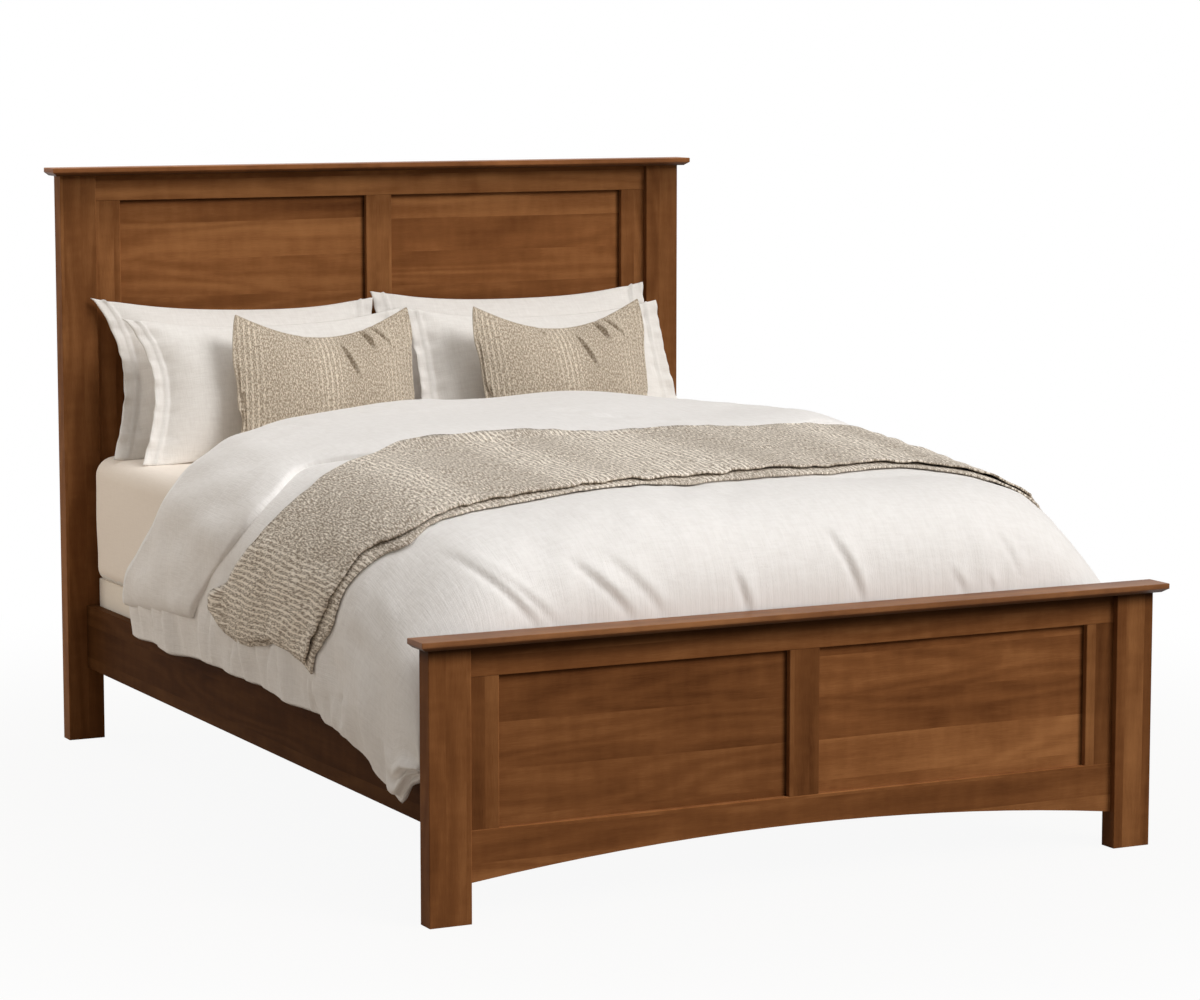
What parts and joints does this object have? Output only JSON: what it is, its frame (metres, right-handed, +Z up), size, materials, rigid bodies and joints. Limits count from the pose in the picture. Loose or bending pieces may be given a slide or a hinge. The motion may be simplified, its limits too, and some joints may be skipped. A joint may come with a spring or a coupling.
{
  "type": "panel bed",
  "caption": "Wooden panel bed with a tall headboard, low arched footboard and hook-on side rails, dressed with mattress, duvet, folded throw, pillows and cushions.",
  "frame": {"origin": "floor level under the middle of the bed's outline", "axes": "+Z up, +Y towards the headboard, +X to the right seen from the foot end"},
  "size_m": [1.7264, 2.2066, 1.382],
  "materials": {
    "frame_wood": "satin stain",
    "plain_wood": "planed",
    "steel": "zinc plated",
    "foot_plastic": "moulded",
    "foundation_fabric": "woven ticking",
    "mattress_fabric": "knitted ticking",
    "sheet_fabric": "cotton",
    "duvet_fabric": "washed linen weave",
    "throw_fabric": "slub knit",
    "pillow_fabric": "linen weave",
    "cushion_fabric": "slub weave"
  },
  "bodies": {
    "bed": {"headboard_post_left": "frame_wood", "headboard_post_right": "frame_wood", "headboard_cap": "frame_wood", "headboard_top_rail": "frame_wood", "headboard_bottom_rail": "frame_wood", "headboard_stile_left": "frame_wood", "headboard_stile_mid": "frame_wood", "headboard_stile_right": "frame_wood", "headboard_panel_left": "frame_wood", "headboard_panel_right": "frame_wood", "footboard_post_left": "frame_wood", "footboard_post_right": "frame_wood", "footboard_cap": "frame_wood", "footboard_top_rail": "frame_wood", "footboard_bottom_rail": "frame_wood", "footboard_stile_left": "frame_wood", "footboard_stile_mid": "frame_wood", "footboard_stile_right": "frame_wood", "footboard_panel_left": "frame_wood", "footboard_panel_right": "frame_wood", "side_rail_left": "frame_wood", "side_rail_right": "frame_wood", "cleat_left": "plain_wood", "cleat_right": "plain_wood", "slat_1": "plain_wood", "slat_2": "plain_wood", "slat_3": "plain_wood", "slat_4": "plain_wood", "slat_5": "plain_wood", "centre_leg_1": "plain_wood", "centre_leg_2": "plain_wood", "centre_leg_3": "plain_wood", "cap_dowels": "plain_wood", "rail_hook_plates": "steel", "post_slot_plates": "steel", "hook_plate_screws": "steel", "slot_plate_screws": "steel", "cleat_screws": "steel", "slat_screws": "steel", "leg_screws": "steel", "leg_inserts": "steel", "foundation_cover": "foundation_fabric", "foundation_frame": "plain_wood", "mattress": "mattress_fabric", "fitted_sheet": "sheet_fabric", "duvet": "duvet_fabric", "throw": "throw_fabric"},
    "leveller_1": {"leveller_1": "foot_plastic"},
    "leveller_2": {"leveller_2": "foot_plastic"},
    "leveller_3": {"leveller_3": "foot_plastic"},
    "pillow_back_left": {"pillow_back_left": "pillow_fabric"},
    "pillow_front_left": {"pillow_front_left": "pillow_fabric"},
    "cushion_left": {"cushion_left": "cushion_fabric"},
    "pillow_back_right": {"pillow_back_right": "pillow_fabric"},
    "pillow_front_right": {"pillow_front_right": "pillow_fabric"},
    "cushion_right": {"cushion_right": "cushion_fabric"}
  },
  "joints": [
    {"name": "leveller_1_wind", "type": "slide", "parent": "bed", "child": "leveller_1", "axis": [0, 0, 1], "range_m": [0, 0.015]},
    {"name": "leveller_2_wind", "type": "slide", "parent": "bed", "child": "leveller_2", "axis": [0, 0, 1], "range_m": [0, 0.015]},
    {"name": "leveller_3_wind", "type": "slide", "parent": "bed", "child": "leveller_3", "axis": [0, 0, 1], "range_m": [0, 0.015]},
    {"name": "pillow_back_left_lift", "type": "slide", "parent": "bed", "child": "pillow_back_left", "axis": [0, -0.2588, 0.9659], "range_m": [0, 0.45]},
    {"name": "pillow_front_left_lift", "type": "slide", "parent": "pillow_back_left", "child": "pillow_front_left", "axis": [0, -0.2588, 0.9659], "range_m": [0, 0.45]},
    {"name": "cushion_left_lift", "type": "slide", "parent": "pillow_front_left", "child": "cushion_left", "axis": [0, -0.2588, 0.9659], "range_m": [0, 0.45]},
    {"name": "pillow_back_right_lift", "type": "slide", "parent": "bed", "child": "pillow_back_right", "axis": [0, -0.2588, 0.9659], "range_m": [0, 0.45]},
    {"name": "pillow_front_right_lift", "type": "slide", "parent": "pillow_back_right", "child": "pillow_front_right", "axis": [0, -0.2588, 0.9659], "range_m": [0, 0.45]},
    {"name": "cushion_right_lift", "type": "slide", "parent": "pillow_front_right", "child": "cushion_right", "axis": [0, -0.2588, 0.9659], "range_m": [0, 0.45]}
  ]
}
